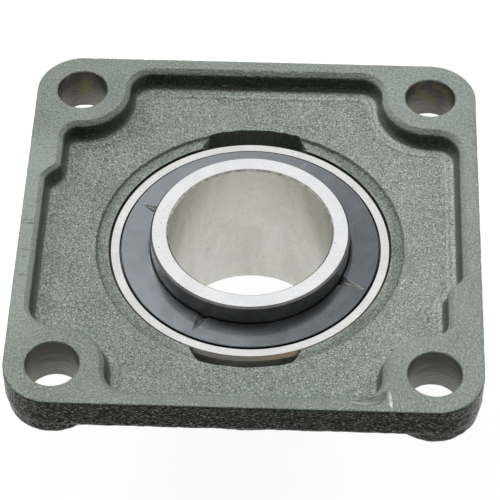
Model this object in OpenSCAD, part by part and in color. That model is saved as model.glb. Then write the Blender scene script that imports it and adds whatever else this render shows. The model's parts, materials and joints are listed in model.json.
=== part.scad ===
// Square flange bearing: a cast housing with four bolt holes and a spherical seat,
// and in the seat a self-aligning ball bearing insert with a wide inner ring.
// The mounting face lies at z = 0 and looks along +Z. The shaft runs along Z.

/* [Flange] */
// Width of the square flange
flange_w = 140; // [137:0.5:144]
// Distance between neighbouring bolt holes
bolt_pitch = 111; // [109:0.5:112]
// Diameter of each bolt hole
bolt_hole_d = 16; // [12:0.5:18]
// Thickness of the flange along its edges
flange_t = 10.5; // [10:0.5:13]
// Height of the bolt bosses on the front of the flange
boss_h = 5; // [3:0.5:7]
// Rounding of the cast edges on the front of the flange
cast_edge_r = 1.2; // [0.8:0.1:1.5]
// Draft of the cast sides, in degrees
draft = 2.5; // [1:0.5:4]

/* [Recess in the mounting face] */
// Width of the rim, from the flange's side to the wall of the recess
rim_w = 5.6; // [5:0.2:7]
// Radius of the wall around each corner pad
pad_r = 15.2; // [14.5:0.1:16]
// Fillet between a corner pad and the rim
pad_fillet_r = 7.5; // [6:0.5:9]
// Extra width of the two lugs on the rim
lug_w = 4.5; // [3.5:0.5:5]
// Distance of a lug's end from the middle of its side
lug_end = 24.4; // [22:0.2:26]
// Length over which a lug's end runs back into the rim
lug_blend = 6.8; // [5:0.2:8]
// Fillet between a corner pad and a lug
lug_fillet_r = 4.5; // [4:0.1:5]
// Depth of the recess at the rim
recess_depth = 7; // [6:0.2:7.6]
// Depth of the recess beside the bearing
floor_depth = 9.2; // [8.8:0.1:9.6]
// Depth of the ring-shaped land around the bearing
land_depth = 10; // [9.8:0.1:10.4]
// Width of the land
land_w = 3.6; // [3:0.2:4.4]
// Draft of the recess wall, in degrees
wall_draft = 8; // [4:1:12]
// Rounding of the rim's inner edge
rim_edge_r = 1.5; // [1:0.1:2]
// Fillet at the foot of the recess wall
foot_r = 2.8; // [2:0.1:3]

/* [Hub] */
// Height of the housing from the mounting face to the hub's nose
housing_h = 40; // [39:0.5:44]
// Radius of the hub at its nose
hub_nose_r = 49; // [48:0.5:52]
// Slope of the hub's side, in degrees
hub_slope = 14; // [8:1:18]
// Fillet between the hub and the flange
hub_fillet_r = 7; // [4:0.5:9]
// Rounding of the hub's nose
nose_r = 2; // [1:0.2:3]
// Width of the two slots through which the insert is loaded
slot_w = 30.6; // [28:0.2:33]
// Room for the insert's edge at the outer wall of a slot
slot_clear = 2.5; // [1:0.1:2.8]

/* [Insert] */
// Bore of the inner ring
bore_d = 50; // [46:0.5:51]
// Diameter of the outer ring's spherical outside
insert_od = 90; // [89:0.5:92]
// Depth of the bearing's centre below the mounting face
seat_depth = 22; // [21.5:0.1:22.6]
// Width of the outer ring
outer_ring_w = 23; // [22.6:0.1:23.4]
// Outer diameter of the inner ring
inner_ring_od = 61; // [60:0.1:61.4]
// Length of the inner ring
inner_ring_len = 51.6; // [48:0.2:56]
// Distance from the bearing's centre to the inner ring's back end
short_side = 19; // [16:0.5:21]
// Width of the flat part of the outer ring's face
ring_face_w = 2.5; // [2:0.1:2.8]
// Chamfer on the inner ring's edges
ring_chamfer = 0.6; // [0.3:0.1:1]

/* [Balls and cage] */
// Diameter of each ball
ball_d = 12.7; // [12.3:0.1:12.9]
// Number of balls
ball_count = 10; // [8:1:10]
// Diameter of the circle through the balls' centres
ball_pitch_d = 70; // [69.6:0.1:70.4]
// Radial width of the cage
cage_w = 4.8; // [4:0.2:5.4]
// Thickness of the cage's sheet steel
cage_t = 0.9; // [0.6:0.1:1]
// Diameter of a rivet's shank
rivet_d = 2.2; // [1.8:0.1:2.4]

/* [Seals and flingers] */
// Thickness of the seal's sheet steel
seal_plate_t = 0.9; // [0.6:0.1:1]
// Thickness of a flinger's sheet steel
flinger_t = 0.8; // [0.6:0.1:0.9]
// Height of a flinger's face above the outer ring's face
flinger_rise = 0.55; // [0.2:0.05:0.8]
// Number of grooves pressed into a flinger
groove_count = 4; // [3:1:6]
// Depth of a groove at the flinger's inner edge
groove_depth = 0.9; // [0.5:0.1:1]
// Width of a groove at the flinger's inner edge
groove_w = 3.4; // [2.4:0.2:4]
// Angle of the first groove
groove_angle = 65; // [0:1:90]

/* [Set screws] */
// Thread diameter of a set screw
screw_d = 10; // [8:0.5:12]
// Length of a set screw
screw_len = 10; // [8:0.5:12]
// Width across the flats of a set screw's socket
socket_af = 5; // [4:0.5:5.5]
// Distance of the set screws from the inner ring's front end
screw_inset = 10; // [9:0.5:11]
// Angle between the two set screws
screw_spread = 120; // [60:5:130]

/* [Grease nipple] */
// Thread diameter of the nipple
nipple_d = 6; // [5:0.5:7]
// Width across the flats of the nipple's hexagon
nipple_af = 8; // [7.5:0.5:9]
// Distance of the grease groove from the bearing's centre
grease_offset = 6.7; // [6.4:0.1:7]
// Diameter of the nipple's check ball
check_ball_d = 2.4; // [2.2:0.1:2.5]

/* [Fits] */
// Gap between the outer ring and its spherical seat
seat_clear = 0.08; // [0.04:0.01:0.1]
// Gap between a ball and each raceway
race_clear = 0.1; // [0.05:0.01:0.15]
// Gap between a ball and its cage pocket
cage_clear = 0.3; // [0.25:0.05:0.4]
// Gap between a flinger and the outer ring
flinger_clear = 0.6; // [0.4:0.05:0.8]
// Gap between a seal lip and the inner ring
lip_clear = 0.12; // [0.1:0.01:0.2]
// Gap between a set screw and its hole
screw_clear = 0.08; // [0.04:0.01:0.1]
// Gap between parts that are pressed or screwed together
press_clear = 0.02; // [0.01:0.01:0.05]

/* [Hidden] */
$fn = 96;
paint_colour = "#6f7b72";
steel_colour = "#c9cacb";
flinger_colour = "#70767d";
cage_colour = "#a9a59a";
rubber_colour = "#262626";
screw_colour = "#3b3b3d";
nipple_colour = "#c7b57a";
corner_steps = 10;
pad_steps = 4;
fillet_steps = 4;
lug_steps = 5;
edge_steps = 3;
hub_fillet_steps = 5;
nose_steps = 4;
cut_over = 1;
bolt_half = bolt_pitch / 2;
corner_r = (flange_w - bolt_pitch) / 2;
boss_t = flange_t + boss_h;
// The bosses stand a hair inside the flange's drafted corners.
boss_inset = 0.15;
recess_half = flange_w / 2 - rim_w;
wall_run = (recess_depth - foot_r - rim_edge_r) * tan(wall_draft);
seat_r = insert_od / 2 + seat_clear;
land_in_r = sqrt(pow(seat_r, 2) - pow(seat_depth - land_depth, 2));
land_out_r = land_in_r + land_w;
land_step_run = 0.7;
floor_r = land_out_r + land_step_run;
slot_r = insert_od / 2 + slot_clear;
front_relief_clear = 0.6;
front_relief_r = land_in_r + front_relief_clear;
front_relief_z = -2 * seat_depth + land_depth - front_relief_clear;
ball_r = ball_d / 2;
ball_pitch_r = ball_pitch_d / 2;
// Each raceway is a little wider than the balls.
outer_race_fit = 0.52;
inner_race_fit = 0.515;
outer_race_r = outer_race_fit * ball_d;
inner_race_r = inner_race_fit * ball_d;
outer_race_mid = ball_pitch_r + ball_r + race_clear - outer_race_r;
inner_race_mid = ball_pitch_r - ball_r - race_clear + inner_race_r;
ring_half = outer_ring_w / 2;
inner_r = inner_ring_od / 2;
bore_r = bore_d / 2;
ring_front = short_side - inner_ring_len;
// The outer ring's flat face ends in a bevel that meets the sphere.
face_bevel = 0.8;
face_out_r = sqrt(pow(insert_od / 2, 2) - pow(ring_half, 2)) - face_bevel;
seal_bore_r = face_out_r - ring_face_w;
seal_shoulder = 1.15;
shoulder_r = seal_bore_r - seal_shoulder;
pocket_in_r = ball_r + cage_clear;
pocket_out_r = pocket_in_r + cage_t;
cage_in_r = ball_pitch_r - cage_w / 2;
cage_out_r = ball_pitch_r + cage_w / 2;
rivet_head_over = 0.8;
rivet_head_r = rivet_d / 2 + rivet_head_over;
rivet_head_h = 0.7;
seal_gap = 0.75;
seal_in = pocket_out_r + seal_gap;
seal_out = seal_in + seal_plate_t;
seal_rim_h = 0.7;
lip_w = 2.6;
web_in_r = inner_r + lip_w;
flinger_out_r = seal_bore_r - flinger_clear;
flinger_face = ring_half + flinger_rise;
// The flinger's face rolls over into its collar.
roll_w = 0.9;
roll_h = 0.8;
flinger_edge = 0.2;
groove_in_r = inner_r + roll_w;
groove_margin = 1.2;
groove_apex_r = flinger_out_r - groove_margin;
collar_foot = flinger_face - flinger_t - groove_depth;
screw_hole_r = screw_d / 2;
screw_r = screw_hole_r - screw_clear;
screw_tip_gap = 0.4;
screw_tip_r = bore_r + screw_tip_gap;
screw_edge = 0.8;
screw_point = 1.2;
screw_cup = 1;
screw_z = ring_front + screw_inset;
grease_tilt = asin(grease_offset / seat_r);
grease_hole_r = 1;
grease_groove_w = 4;
grease_groove_deep = 1.2;
nipple_boss_over = 2.4;
nipple_boss_rise = 1.4;
nipple_boss_root = 2;
nipple_boss_r = nipple_af / 2 + nipple_boss_over;
nipple_r = nipple_d / 2;
// Height at which the nipple's axis leaves a hub of about this wall.
hub_wall = 8;
nipple_seat_z = -(seat_depth + (insert_od / 2 + hub_wall) * sin(grease_tilt));
nipple_seat = hub_r_at(nipple_seat_z) / cos(grease_tilt) + nipple_boss_rise;
nipple_shank = 5.5;
nipple_edge = 0.6;
tap_end = 0.5;
nipple_hex_h = 3.2;
nipple_len = 10;
nipple_hole_r = 0.6;
nipple_neck_r = 2.1;
nipple_head_r = 3.2;
// Distances below the nipple's tip at which its head starts, is widest and closes.
head_foot = 3.6;
head_low = 2.2;
head_high = 1.4;
head_close = 1.2;
check_ball_r = check_ball_d / 2;
chamber_clear = 0.3;
mouth_lip = 0.5;
chamber_r = check_ball_r + chamber_clear;
mouth_r = check_ball_r - mouth_lip;
mouth_cone = chamber_r - mouth_r;
chamber_wall = 1.2;
chamber_top = nipple_len - chamber_wall;
chamber_foot = -nipple_shank + chamber_wall;
check_gap = 0.05;
check_ball_h = chamber_top + mouth_r - (check_ball_r + check_gap) * sqrt(2);
spring_wire_r = 0.18;
spring_inset = 0.12;
spring_gap = 0.04;
spring_mid_r = check_ball_r - spring_wire_r - spring_inset;
spring_turns = 7;
spring_sides = 6;
spring_turn_steps = 14;

BALLS = [for (k = [1:ball_count]) str("ball_", k)];

function arc(centre, r, from, to, steps) =
    [for (i = [0:steps]) let (a = from + (to - from) * i / steps) centre + r * [cos(a), sin(a)]];

function tail(list) = [for (i = [1:len(list) - 1]) list[i]];

function inner_part(list) = [for (i = [1:len(list) - 2]) list[i]];

function smooth(t) = t * t * (3 - 2 * t);

function turned(p, a) = [p[0] * cos(a) - p[1] * sin(a), p[0] * sin(a) + p[1] * cos(a)];

function at_height(ring, z) = [for (p = ring) [p[0], p[1], z]];

// Outline of the flange, moved inwards by inset: four arcs around the bolt holes.
function flange_outline(inset) = [
    for (q = [0:3]) each arc(
        turned([bolt_half, bolt_half], 90 * q), corner_r - inset, 90 * q, 90 * q + 90, corner_steps
    )
];

// Centre of the fillet between a corner pad and a wall that lies wall_x from the middle.
function fillet_centre(wall_x, r) =
    let (x = wall_x - r)
    [x, bolt_half - sqrt(pow(pad_r + r, 2) - pow(bolt_half - x, 2))];

// One side of the recess, from the middle of one pad to the middle of the next.
// The wall moves inwards by inset. A side with a lug has it next to its first pad.
function recess_side(inset, lug, lug_r) =
    let (
        low = fillet_centre(recess_half - lug, lug_r),
        high = fillet_centre(recess_half, pad_fillet_r),
        low_a = atan2(bolt_half - low[1], low[0] - bolt_half),
        high_a = atan2(bolt_half - high[1], bolt_half - high[0])
    )
    concat(
        arc([bolt_half, -bolt_half], pad_r + inset, 135, low_a, pad_steps),
        tail(arc([low[0], -low[1]], lug_r - inset, low_a + 180, 360, fillet_steps)),
        [
            for (i = [0:lug_steps])
                let (t = i / lug_steps)
                [recess_half - lug * (1 - smooth(t)) - inset, -lug_end + lug_blend * t]
        ],
        arc(high, pad_fillet_r - inset, 0, high_a, fillet_steps),
        inner_part(arc([bolt_half, bolt_half], pad_r + inset, high_a - 180, -135, pad_steps))
    );

function recess_outline(inset) = [
    for (s = [0:3])
        let (lug = s % 2 == 0 ? lug_w : 0, r = s % 2 == 0 ? lug_fillet_r : pad_fillet_r)
        for (p = recess_side(inset, lug, r)) turned(p, 90 * s)
];

// Radius of the hub's sloping side at a height z.
function hub_r_at(z) = hub_nose_r + (z + housing_h) * tan(hub_slope);

// A solid through rings of points that run anticlockwise and lie one below the other.
module loft(rings) {
    n = len(rings[0]);
    last = (len(rings) - 1) * n;
    sides = [
        for (i = [0:len(rings) - 2], j = [0:n - 1])
            let (a = i * n + j, b = i * n + (j + 1) % n)
            each [[a, b, b + n], [a, b + n, a + n]]
    ];
    caps = [[for (j = [n - 1:-1:0]) j], [for (j = [0:n - 1]) last + j]];
    polyhedron(points = [for (r = rings) each r], faces = concat(sides, caps), convexity = 6);
}

module flange_plate() {
    straight = flange_t - cast_edge_r;
    run = straight * tan(draft);
    levels = concat(
        [[0, 0]],
        [for (p = arc([run + cast_edge_r, -straight], cast_edge_r, 180, 270, edge_steps)) p]
    );
    loft([for (l = levels) at_height(flange_outline(l[0]), l[1])]);
}

// A drafted boss around a bolt hole, as a profile turned about the hole.
module bolt_boss() {
    straight = boss_t - cast_edge_r;
    foot = corner_r - boss_inset - straight * tan(draft);
    rotate_extrude()
        polygon(concat(
            [[0, -cut_over], [corner_r - boss_inset - cut_over * tan(draft), -cut_over]],
            [for (p = arc([foot - cast_edge_r, -straight], cast_edge_r, 0, -90, edge_steps)) p],
            [[0, -boss_t]]
        ));
}

module hub() {
    fillet_z = -flange_t - hub_fillet_r;
    fillet_x = hub_r_at(fillet_z + hub_fillet_r * sin(hub_slope)) + hub_fillet_r * cos(hub_slope);
    nose_z = nose_r - housing_h;
    nose_x = hub_r_at(nose_z - nose_r * sin(hub_slope)) - nose_r * cos(hub_slope);
    top = -recess_depth + foot_r;
    rotate_extrude()
        polygon(concat(
            [[0, top], [fillet_x, top]],
            arc([fillet_x, fillet_z], hub_fillet_r, 90, 180 - hub_slope, hub_fillet_steps),
            arc([nose_x, nose_z], nose_r, -hub_slope, -90, nose_steps),
            [[0, -housing_h]]
        ));
}

// Places things on the grease nipple's axis, with z = 0 on the nipple's seat.
module on_nipple_axis(distance) {
    translate([0, 0, -seat_depth])
        rotate([-90 - grease_tilt, 0, 0])
            translate([0, 0, distance])
                children();
}

module nipple_boss() {
    on_nipple_axis(0)
        translate([0, 0, seat_r + nipple_boss_root])
            cylinder(h = nipple_seat - seat_r - nipple_boss_root, r = nipple_boss_r);
}

// The hollow in the mounting face: rounded edge, drafted wall, foot fillet and sloping floor.
module recess() {
    foot_z = foot_r - recess_depth;
    levels = concat(
        [[-rim_edge_r, cut_over]],
        arc([-rim_edge_r, -rim_edge_r], rim_edge_r, 90, 0, edge_steps),
        arc([wall_run + foot_r, foot_z], foot_r, 180, 270, edge_steps)
    );
    floor_ring = [
        for (p = recess_outline(wall_run + foot_r))
            let (a = atan2(p[1], p[0])) [floor_r * cos(a), floor_r * sin(a), -floor_depth]
    ];
    loft(concat([for (l = levels) at_height(recess_outline(l[0]), l[1])], [floor_ring]));
}

module seat_and_land() {
    translate([0, 0, -seat_depth])
        sphere(r = seat_r);
    translate([0, 0, -land_depth])
        cylinder(
            h = 2 * (land_depth - floor_depth),
            r1 = land_out_r - land_step_run / 2,
            r2 = land_out_r + 1.5 * land_step_run
        );
    translate([0, 0, -housing_h - cut_over])
        cylinder(h = front_relief_z + housing_h + cut_over, r = front_relief_r);
    translate([0, 0, -seat_depth])
        rotate_extrude()
            translate([seat_r * cos(grease_tilt) - cut_over, -grease_offset - grease_groove_w / 2])
                square([cut_over + grease_groove_deep, grease_groove_w]);
}

module loading_slots() {
    translate([0, 0, -seat_depth])
        linear_extrude(seat_depth - cut_over)
            intersection() {
                circle(r = slot_r);
                square([slot_w, 2 * slot_r + cut_over], center = true);
            }
}

module bolt_places() {
    for (x = [-1, 1], y = [-1, 1])
        translate([x * bolt_half, y * bolt_half, 0])
            children();
}

module housing() {
    color(paint_colour)
        difference() {
            union() {
                flange_plate();
                bolt_places() bolt_boss();
                hub();
                nipple_boss();
            }
            recess();
            seat_and_land();
            loading_slots();
            bolt_places()
                translate([0, 0, -boss_t - cut_over])
                    cylinder(h = boss_t + 2 * cut_over, d = bolt_hole_d);
            on_nipple_axis(seat_r - cut_over)
                cylinder(h = nipple_seat - seat_r + cut_over, r = grease_hole_r);
            on_nipple_axis(nipple_seat - nipple_shank - tap_end)
                cylinder(h = nipple_shank + cut_over, r = nipple_r + press_clear);
        }
}

module outer_ring() {
    corner = face_out_r + ring_half;
    color(steel_colour)
        translate([0, 0, -seat_depth])
            difference() {
                rotate_extrude()
                    difference() {
                        intersection() {
                            circle(r = insert_od / 2);
                            polygon([
                                [shoulder_r, -ring_half], [face_out_r, -ring_half], [corner, 0],
                                [face_out_r, ring_half], [shoulder_r, ring_half]
                            ]);
                        }
                        translate([outer_race_mid, 0])
                            circle(r = outer_race_r);
                        for (s = [-1, 1])
                            translate([0, s * (seal_in + outer_ring_w)])
                                square([2 * seal_bore_r, 2 * outer_ring_w], center = true);
                    }
                for (a = [90, 270])
                    rotate([0, 90, a])
                        translate([grease_offset, 0, shoulder_r - cut_over])
                            cylinder(h = insert_od / 2, r = grease_hole_r);
            }
}

module inner_ring() {
    c = ring_chamfer;
    color(steel_colour)
        translate([0, 0, -seat_depth])
            difference() {
                rotate_extrude()
                    difference() {
                        polygon([
                            [bore_r, ring_front + c], [bore_r + c, ring_front], [inner_r - c, ring_front],
                            [inner_r, ring_front + c], [inner_r, short_side - c], [inner_r - c, short_side],
                            [bore_r + c, short_side], [bore_r, short_side - c]
                        ]);
                        translate([inner_race_mid, 0])
                            circle(r = inner_race_r);
                    }
                screw_places()
                    cylinder(h = inner_r + cut_over, r = screw_hole_r);
            }
}

// Puts things at the two set screws, with z = 0 on the shaft's axis and +Z outwards.
module screw_places(which = [-1, 1]) {
    for (s = which)
        rotate([0, 0, -90 + s * screw_spread / 2])
            translate([0, 0, screw_z])
                rotate([0, 90, 0])
                    children();
}

function ball_angle(k) = 360 / ball_count * (k - 0.5);

module at_ball(k) {
    translate([0, 0, -seat_depth])
        rotate([0, 0, ball_angle(k)])
            translate([ball_pitch_r, 0, 0])
                children();
}

module ball(k) {
    color(steel_colour)
        at_ball(k)
            sphere(r = ball_r);
}

// Places things at the middle of each gap between two balls.
module rivet_places() {
    for (k = [1:ball_count])
        translate([0, 0, -seat_depth])
            rotate([0, 0, ball_angle(k) + 180 / ball_count])
                translate([ball_pitch_r, 0, 0])
                    children();
}

// Half of the pressed cage: flat bridges between half-round ball pockets.
module cage_half(side) {
    color(cage_colour)
        difference() {
            intersection() {
                translate([0, 0, -seat_depth])
                    mirror([0, 0, side > 0 ? 0 : 1])
                        rotate_extrude()
                            translate([cage_in_r, 0])
                                square([cage_w, pocket_out_r + cut_over]);
                union() {
                    translate([0, 0, -seat_depth - cage_t])
                        cylinder(h = 2 * cage_t, r = cage_out_r + cut_over);
                    for (k = [1:ball_count])
                        at_ball(k)
                            sphere(r = pocket_out_r);
                }
            }
            for (k = [1:ball_count])
                at_ball(k)
                    sphere(r = pocket_in_r);
            rivet_places()
                cylinder(h = 4 * cage_t, d = rivet_d + 2 * press_clear, center = true);
        }
}

module cage_back() {
    cage_half(1);
}

module cage_front() {
    cage_half(-1);
}

module cage_rivets() {
    color(cage_colour)
        rivet_places()
            rotate_extrude()
                polygon([
                    [0, -cage_t - rivet_head_h], [rivet_head_r / 2, -cage_t - rivet_head_h],
                    [rivet_head_r, -cage_t], [rivet_d / 2, -cage_t], [rivet_d / 2, cage_t],
                    [rivet_head_r, cage_t], [rivet_head_r / 2, cage_t + rivet_head_h],
                    [0, cage_t + rivet_head_h]
                ]);
}

// Turns a profile about the shaft, on the back (1) or the front (-1) of the bearing.
module turned_about_shaft(side) {
    translate([0, 0, -seat_depth])
        mirror([0, 0, side > 0 ? 0 : 1])
            rotate_extrude()
                children();
}

// Sheet steel ring pressed into the outer ring, with a turned-up rim.
module seal_plate(side) {
    rim_r = seal_bore_r - press_clear;
    rim_top = seal_out + seal_rim_h;
    color(cage_colour)
        turned_about_shaft(side)
            polygon([
                [web_in_r, seal_in], [rim_r, seal_in], [rim_r, rim_top],
                [rim_r - seal_plate_t, rim_top], [rim_r - seal_plate_t, seal_out], [web_in_r, seal_out]
            ]);
}

// Rubber lip on the plate's inner edge: a bead over the plate and a tip close to the inner ring.
module seal_lip(side) {
    tip = inner_r + lip_clear;
    root = tip + lip_w / 2;
    mid = (seal_in + seal_out) / 2;
    bead = seal_plate_t / 3;
    color(rubber_colour)
        turned_about_shaft(side)
            polygon([
                [web_in_r, seal_in], [web_in_r, seal_out], [web_in_r + lip_w / 2, seal_out],
                [web_in_r + lip_w / 3, seal_out + bead], [root, seal_out + bead], [tip, mid + bead],
                [tip, mid], [root - bead, mid - bead], [root, seal_in]
            ]);
}

module seal_plate_back() {
    seal_plate(1);
}

module seal_plate_front() {
    seal_plate(-1);
}

module seal_lip_back() {
    seal_lip(1);
}

module seal_lip_front() {
    seal_lip(-1);
}

// A wedge along each pressed groove: full size at the flinger's inner edge, nothing at the apex.
// Lowered by the sheet's thickness, it is the groove's underside.
module groove_wedges(lower) {
    run = groove_apex_r - groove_in_r;
    fall = atan(groove_depth / run);
    for (k = [0:groove_count - 1])
        rotate([0, 0, groove_angle + 360 / groove_count * k])
            translate([groove_apex_r, 0, flinger_face + groove_depth - lower])
                rotate([0, -fall, 0])
                    rotate([90, 0, -90])
                        linear_extrude(run + lip_w)
                            polygon([
                                [-groove_w / 2, 0], [0, -groove_depth], [groove_w / 2, 0],
                                [groove_w / 2, cut_over], [-groove_w / 2, cut_over]
                            ]);
}

// Sheet steel disc with a collar on the inner ring and wedge-shaped grooves pressed inwards.
module flinger(side) {
    bore = inner_r + press_clear;
    under = flinger_face - flinger_t;
    rib_in_r = bore + flinger_t / 2;
    color(flinger_colour)
        translate([0, 0, -seat_depth])
            mirror([0, 0, side > 0 ? 0 : 1])
                difference() {
                    union() {
                        rotate_extrude()
                            polygon([
                                [bore, collar_foot], [bore + flinger_t, collar_foot],
                                [bore + flinger_t, under], [flinger_out_r, under],
                                [flinger_out_r, flinger_face - flinger_edge],
                                [flinger_out_r - flinger_edge, flinger_face], [bore + roll_w, flinger_face],
                                [bore + roll_w / 3, flinger_face - roll_h / 3],
                                [bore, flinger_face - roll_h]
                            ]);
                        intersection() {
                            groove_wedges(flinger_t);
                            rotate_extrude()
                                translate([rib_in_r, under - groove_depth])
                                    square([groove_apex_r - rib_in_r, groove_depth + flinger_t / 2]);
                        }
                    }
                    groove_wedges(0);
                }
}

module flinger_back() {
    flinger(1);
}

module flinger_front() {
    flinger(-1);
}

// Cup-point screw with a hexagon socket, on its own axis.
module set_screw(side) {
    head = screw_tip_r + screw_len;
    socket_deep = screw_len / 2;
    color(screw_colour)
        translate([0, 0, -seat_depth])
            screw_places([side])
                difference() {
                    rotate_extrude()
                        polygon([
                            [0, screw_tip_r + screw_cup], [screw_r / 2, screw_tip_r],
                            [screw_r - screw_point, screw_tip_r], [screw_r, screw_tip_r + screw_point],
                            [screw_r, head - screw_edge], [screw_r - screw_edge, head], [0, head]
                        ]);
                    translate([0, 0, head - socket_deep])
                        cylinder(h = socket_deep + cut_over, d = socket_af / cos(30), $fn = 6);
                }
}

module set_screw_1() {
    set_screw(-1);
}

module set_screw_2() {
    set_screw(1);
}

// Grease nipple: threaded shank, hexagon and ball-shaped head around a sprung check ball.
module grease_nipple() {
    r = nipple_r;
    head_r = nipple_head_r;
    len = nipple_len;
    color(nipple_colour)
        on_nipple_axis(nipple_seat)
            difference() {
                union() {
                    cylinder(h = nipple_hex_h, d = nipple_af / cos(30), $fn = 6);
                    rotate_extrude()
                        polygon([
                            [0, -nipple_shank], [r - nipple_edge, -nipple_shank],
                            [r, nipple_edge - nipple_shank], [r, cut_over], [head_r, cut_over],
                            [head_r, nipple_hex_h], [nipple_neck_r, nipple_hex_h + nipple_edge],
                            [nipple_neck_r, len - head_foot], [head_r, len - head_low],
                            [head_r, len - head_high], [head_r - head_close, len], [0, len]
                        ]);
                }
                rotate_extrude()
                    polygon([
                        [0, chamber_foot], [chamber_r, chamber_foot], [chamber_r, chamber_top - mouth_cone],
                        [mouth_r, chamber_top], [mouth_r, len + cut_over], [0, len + cut_over]
                    ]);
                translate([0, 0, -nipple_shank - cut_over])
                    cylinder(h = len, r = nipple_hole_r);
            }
}

module nipple_ball() {
    color(steel_colour)
        on_nipple_axis(nipple_seat + check_ball_h)
            sphere(r = check_ball_r);
}

// Coil spring between the foot of the nipple's chamber and the check ball.
module nipple_spring() {
    foot = chamber_foot + spring_wire_r + spring_gap;
    reach = check_ball_r + spring_wire_r + spring_gap;
    top = check_ball_h - sqrt(pow(reach, 2) - pow(spring_mid_r, 2));
    steps = spring_turns * spring_turn_steps;
    rings = [
        for (i = [steps:-1:0])
            let (a = 360 * i / spring_turn_steps, z = foot + (top - foot) * i / steps)
            [
                for (j = [0:spring_sides - 1])
                    let (b = 360 * j / spring_sides, r = spring_mid_r + spring_wire_r * cos(b))
                    [r * cos(a), r * sin(a), z + spring_wire_r * sin(b)]
            ]
    ];
    color(steel_colour)
        on_nipple_axis(nipple_seat)
            loft(rings);
}

housing();
outer_ring();
inner_ring();
for (k = [1:ball_count]) ball(k);
cage_back();
cage_front();
cage_rivets();
seal_plate_back();
seal_plate_front();
seal_lip_back();
seal_lip_front();
flinger_back();
flinger_front();
set_screw_1();
set_screw_2();
grease_nipple();
nipple_ball();
nipple_spring();
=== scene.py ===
import json
import math

import bpy
import numpy as np
from mathutils import Matrix, Vector, noise


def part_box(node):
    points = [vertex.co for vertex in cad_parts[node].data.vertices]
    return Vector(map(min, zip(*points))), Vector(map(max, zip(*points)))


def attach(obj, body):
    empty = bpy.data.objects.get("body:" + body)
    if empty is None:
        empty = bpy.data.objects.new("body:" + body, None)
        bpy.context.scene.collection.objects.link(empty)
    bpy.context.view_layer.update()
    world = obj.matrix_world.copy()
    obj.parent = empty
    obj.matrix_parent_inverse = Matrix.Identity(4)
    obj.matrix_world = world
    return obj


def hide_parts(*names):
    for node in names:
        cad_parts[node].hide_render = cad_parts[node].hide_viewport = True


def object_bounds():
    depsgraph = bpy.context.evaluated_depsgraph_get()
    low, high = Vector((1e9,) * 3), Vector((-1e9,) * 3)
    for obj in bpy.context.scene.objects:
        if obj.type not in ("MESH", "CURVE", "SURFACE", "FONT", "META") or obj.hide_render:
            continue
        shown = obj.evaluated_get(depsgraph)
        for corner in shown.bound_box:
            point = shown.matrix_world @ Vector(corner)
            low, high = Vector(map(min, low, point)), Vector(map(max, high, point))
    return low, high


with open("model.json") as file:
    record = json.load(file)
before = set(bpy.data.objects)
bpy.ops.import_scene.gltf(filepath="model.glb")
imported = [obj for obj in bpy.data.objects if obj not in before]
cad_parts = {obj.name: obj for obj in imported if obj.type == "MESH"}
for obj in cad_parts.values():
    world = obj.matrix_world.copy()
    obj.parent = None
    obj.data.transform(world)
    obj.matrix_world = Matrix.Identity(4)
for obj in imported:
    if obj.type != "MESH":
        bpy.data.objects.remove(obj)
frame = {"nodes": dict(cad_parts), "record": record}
cad_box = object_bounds()

# Sizes in metres, from the frame
MM = 0.001
mounts = {m["name"]: m for m in frame["record"]["mounts"]}
BOLT_HALF = mounts["flange_bolts"]["dims"]["spacing_x_mm"] * MM / 2
BOLT_R = mounts["flange_bolts"]["dims"]["hole_r_mm"] * MM
BORE_R = mounts["shaft_bore"]["dims"]["r_mm"] * MM
FLANGE_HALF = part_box("housing")[1].x
HUB_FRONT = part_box("housing")[0].z
INSERT_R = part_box("outer_ring")[1].x
RING_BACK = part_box("outer_ring")[1].z
RING_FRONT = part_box("outer_ring")[0].z
CENTRE_Z = (RING_BACK + RING_FRONT) / 2
RING_HALF = (RING_BACK - RING_FRONT) / 2
INNER_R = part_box("inner_ring")[1].x
INNER_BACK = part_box("inner_ring")[1].z
INNER_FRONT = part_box("inner_ring")[0].z
FLINGER_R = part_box("flinger_back")[1].y
FLINGER_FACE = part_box("flinger_back")[1].z - CENTRE_Z
FLOOR_Z = cad_box[0].z

# Sizes that the frame's boxes don't give
SEAT_GAP = 0.08 * MM
FACE_BEVEL = 0.8 * MM
RING_FACE = 2.5 * MM
SEAL_SHOULDER = 1.15 * MM
SEAL_IN = 8.3 * MM
PITCH_R = 35 * MM
RACE_R = 6.57 * MM
RACE_DEEP = 6.45 * MM
CHAMFER = 0.6 * MM

# Points around turned pieces and holes, and the angles in degrees above which edges stay sharp
SEGMENTS = 192
HOLE_SEGMENTS = 96
SHARP = 35
RING_SHARP = 14
CAST_SHARP = 40
FLINGER_SHARP = 28


def add_object(name, data):
    """A new object in the scene."""
    thing = bpy.data.objects.new(name, data)
    bpy.context.scene.collection.objects.link(thing)
    return thing


# Camera: fitted to the bolt holes, flange edges and rings in the photograph
IMAGE_PIXELS = 500
FOCAL_PIXELS = 2418.7
SENSOR_MM = 36
CAMERA_AZIMUTH = math.radians(-2.1163)
CAMERA_ELEVATION = math.radians(49.403)
CAMERA_ROLL = math.radians(-0.0957)
CAMERA_DISTANCE = 735.64 * MM
CAMERA_DROP = 7.835 * MM


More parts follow.
